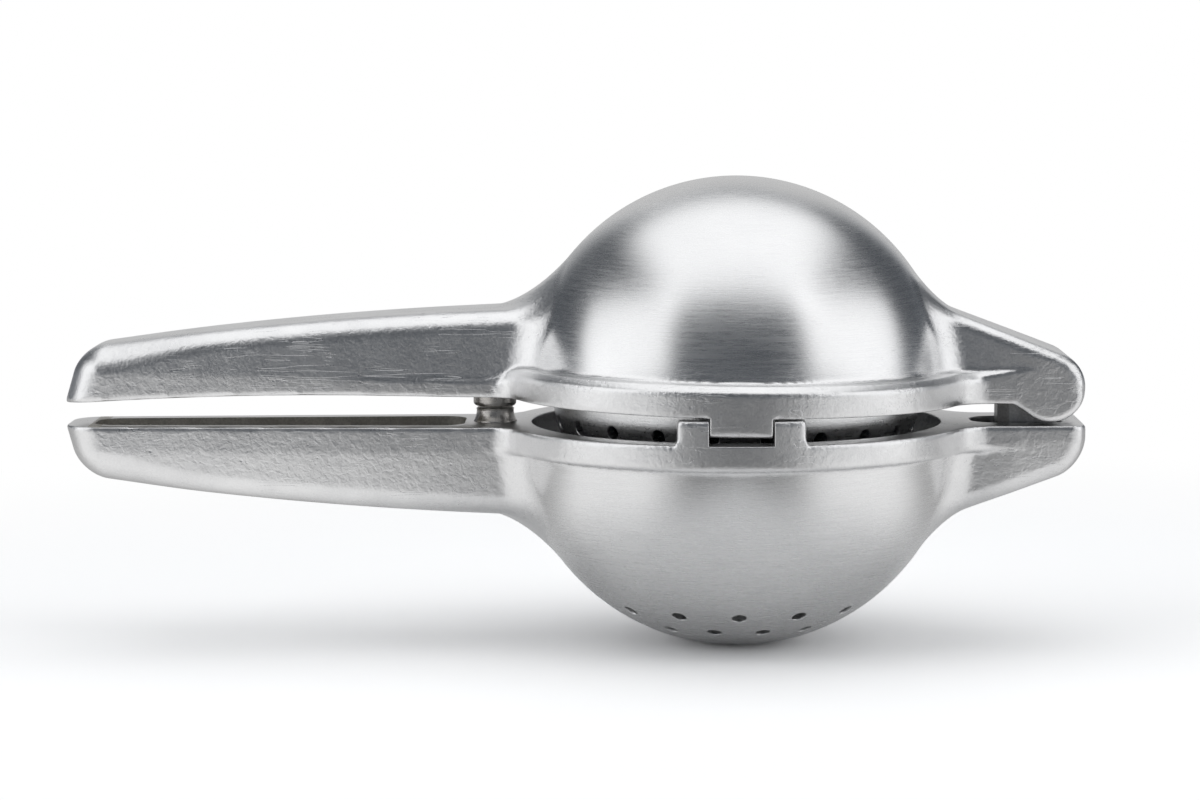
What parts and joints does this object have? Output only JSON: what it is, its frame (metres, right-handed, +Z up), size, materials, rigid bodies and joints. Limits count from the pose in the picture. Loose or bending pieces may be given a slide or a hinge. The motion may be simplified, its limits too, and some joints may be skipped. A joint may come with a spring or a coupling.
{
  "type": "hinged lemon squeezer",
  "caption": "Hand-held cast metal citrus press: a perforated bowl and a dome with a press cup, hinged at one side and closed by two long handles.",
  "frame": {"origin": "centre of the small flat under the bowl", "axes": "+X towards the hinge, handles along -X, +Z up through the dome, -Y is the front"},
  "size_m": [0.2151, 0.0988, 0.0994],
  "materials": {
    "cast_aluminium": "satin cast, brushed on the bowl and the dome",
    "cup_metal": "smooth satin",
    "tongue_metal": "cast, dull",
    "stud_metal": "turned",
    "pin_steel": "ground"
  },
  "bodies": {
    "lower_half": {"lower_casting": "cast_aluminium", "hinge_tongue": "tongue_metal", "tongue_anchor_pin": "pin_steel", "lower_stop_stud": "stud_metal"},
    "upper_half": {"upper_casting": "cast_aluminium", "press_cup": "cup_metal", "upper_stop_stud": "stud_metal", "hinge_pin": "pin_steel"}
  },
  "joints": [
    {"name": "hinge", "type": "hinge", "parent": "lower_half", "child": "upper_half", "pos_m": [0.0655, 0, 0.05527], "axis": [0, 1, 0], "range_deg": [0, 100]}
  ]
}
